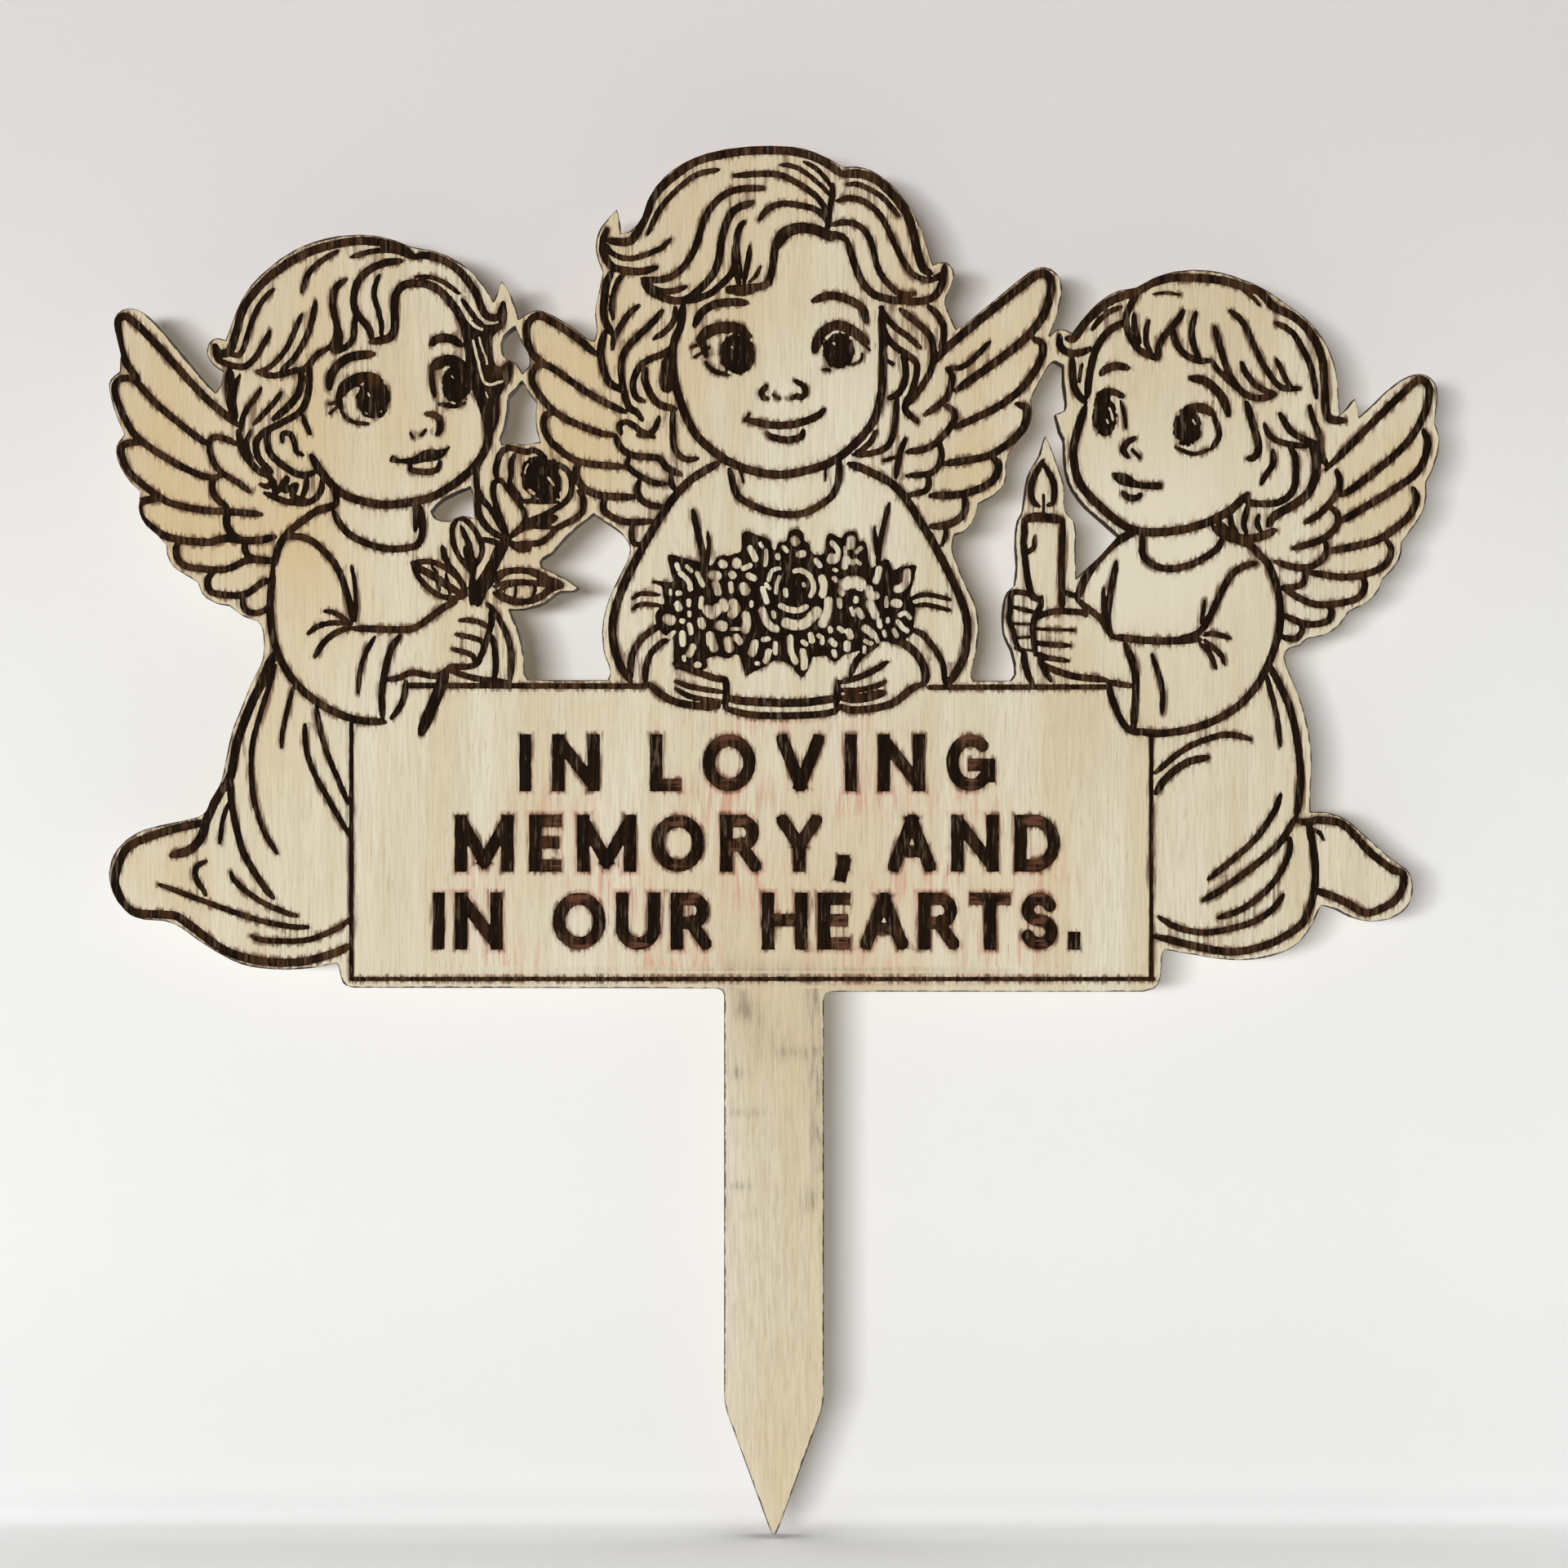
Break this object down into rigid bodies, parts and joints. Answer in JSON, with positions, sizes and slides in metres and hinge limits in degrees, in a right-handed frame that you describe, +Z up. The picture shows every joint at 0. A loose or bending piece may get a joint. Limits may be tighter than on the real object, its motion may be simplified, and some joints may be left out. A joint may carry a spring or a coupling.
{
  "type": "memorial plaque on a ground stake",
  "caption": "Flat laser-cut plywood memorial plaque, with cherub figures behind a text panel and a pointed stake that pushes into the ground.",
  "frame": {"origin": "tip of the ground stake, on the stake's centre line and midway through the sheet", "axes": "+Z up along the stake, +X to the right as the front is seen, the engraved face looks along -Y"},
  "size_m": [0.1999, 0.004, 0.2088],
  "materials": {
    "face_birch": "bare sanded veneer with burnt engraved lines",
    "core_birch": "bare ply with laser-charred edge",
    "back_birch": "bare sanded veneer"
  },
  "bodies": {
    "root": {"face_veneer": "face_birch", "core_ply": "core_birch", "back_veneer": "back_birch"}
  },
  "joints": []
}
